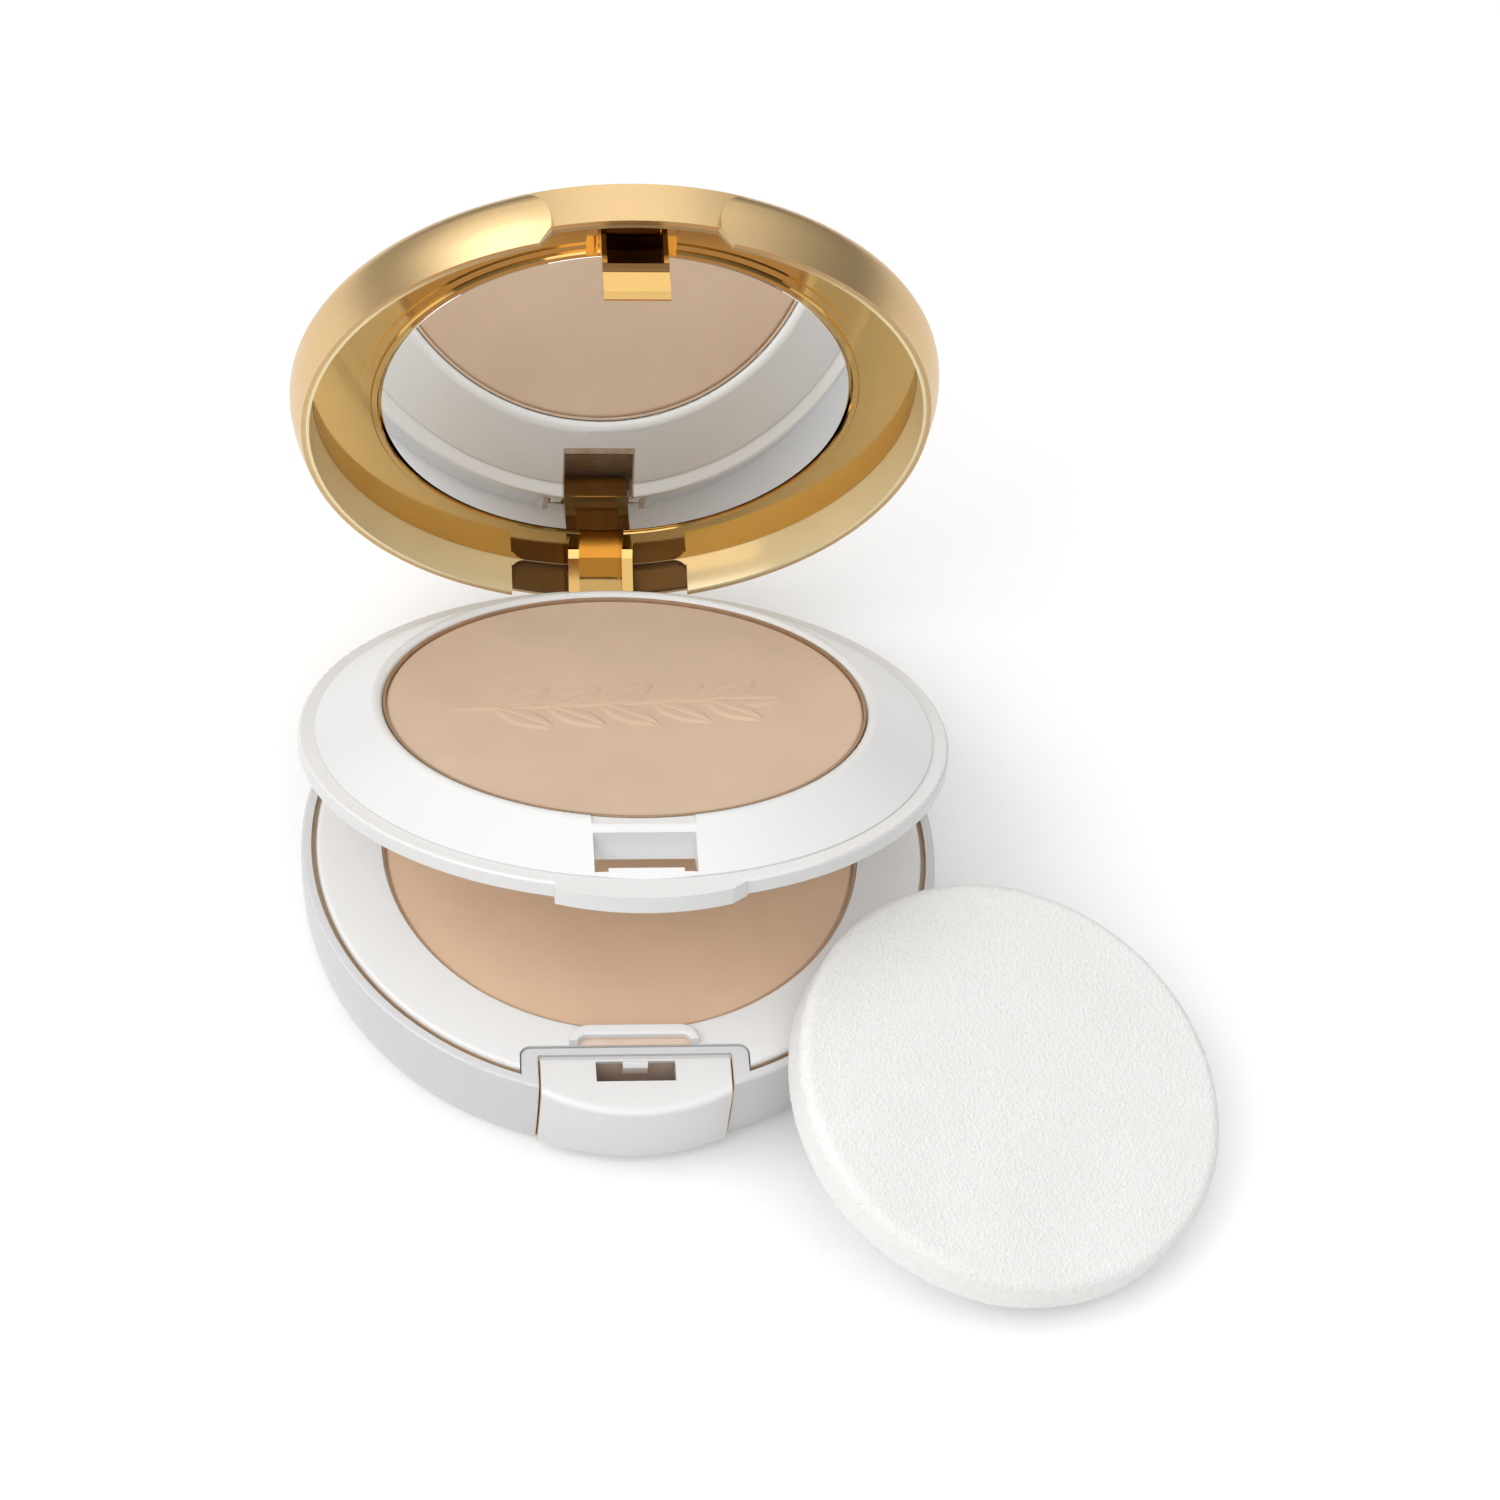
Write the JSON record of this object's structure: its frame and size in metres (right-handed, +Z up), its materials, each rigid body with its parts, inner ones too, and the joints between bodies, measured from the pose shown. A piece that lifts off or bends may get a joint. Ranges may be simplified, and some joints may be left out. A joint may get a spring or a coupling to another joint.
{
  "type": "powder compact",
  "caption": "Round two-tier pressed powder compact: white base with front push button, hinged white tray, gold mirrored lid and a loose round sponge puff.",
  "frame": {"origin": "centre of the flat underside of the base", "axes": "+Z up, front with the push button towards -Y, hinge at +Y"},
  "size_m": [0.1108, 0.1196, 0.0864],
  "materials": {
    "white_gloss": "gloss",
    "satin_gold": "satin plated gold",
    "polished_gold": "polished plated gold",
    "mirror_glass": "silvered glass",
    "powder_beige": "pressed powder",
    "powder_tan": "pressed powder",
    "pan_aluminium": "plain",
    "adhesive": "matte",
    "spring_steel": "bright",
    "label_paper": "matte paper",
    "sponge_foam": "fine foam"
  },
  "bodies": {
    "base": {"base_shell": "white_gloss", "base_insert": "white_gloss", "base_label": "label_paper", "lower_pan_adhesive": "adhesive", "lower_pan": "pan_aluminium", "lower_powder": "powder_tan", "button_spring": "spring_steel", "hinge_pin": "spring_steel"},
    "button": {"push_button": "white_gloss"},
    "tray": {"tray_frame": "white_gloss", "tray_underplate": "white_gloss", "upper_pan_adhesive": "adhesive", "upper_pan": "pan_aluminium", "upper_powder": "powder_beige"},
    "lid": {"lid_shell": "satin_gold", "lid_frame": "polished_gold", "latch_hook": "polished_gold", "mirror": "mirror_glass", "mirror_adhesive": "adhesive"},
    "sponge": {"sponge_puff": "sponge_foam"}
  },
  "joints": [
    {"name": "tray_hinge", "type": "hinge", "parent": "base", "child": "tray", "pos_m": [0, 0.0381, 0.00755], "axis": [-1, 0, 0], "range_deg": [-21.2, 12]},
    {"name": "lid_hinge", "type": "hinge", "parent": "tray", "child": "lid", "pos_m": [0, 0.0381, 0.00755], "axis": [-1, 0, 0], "range_deg": [-59, 11]},
    {"name": "button_slide", "type": "slide", "parent": "base", "child": "button", "axis": [0, 1, 0], "range_m": [0, 0.00075], "stiffness_N_per_m": 400, "springref_m": -0.0005, "deforming": ["button_spring"]},
    {"name": "sponge_slide", "type": "slide", "parent": "base", "child": "sponge", "axis": [0.7759, -0.6309, 0], "range_m": [0, 0.045]}
  ]
}
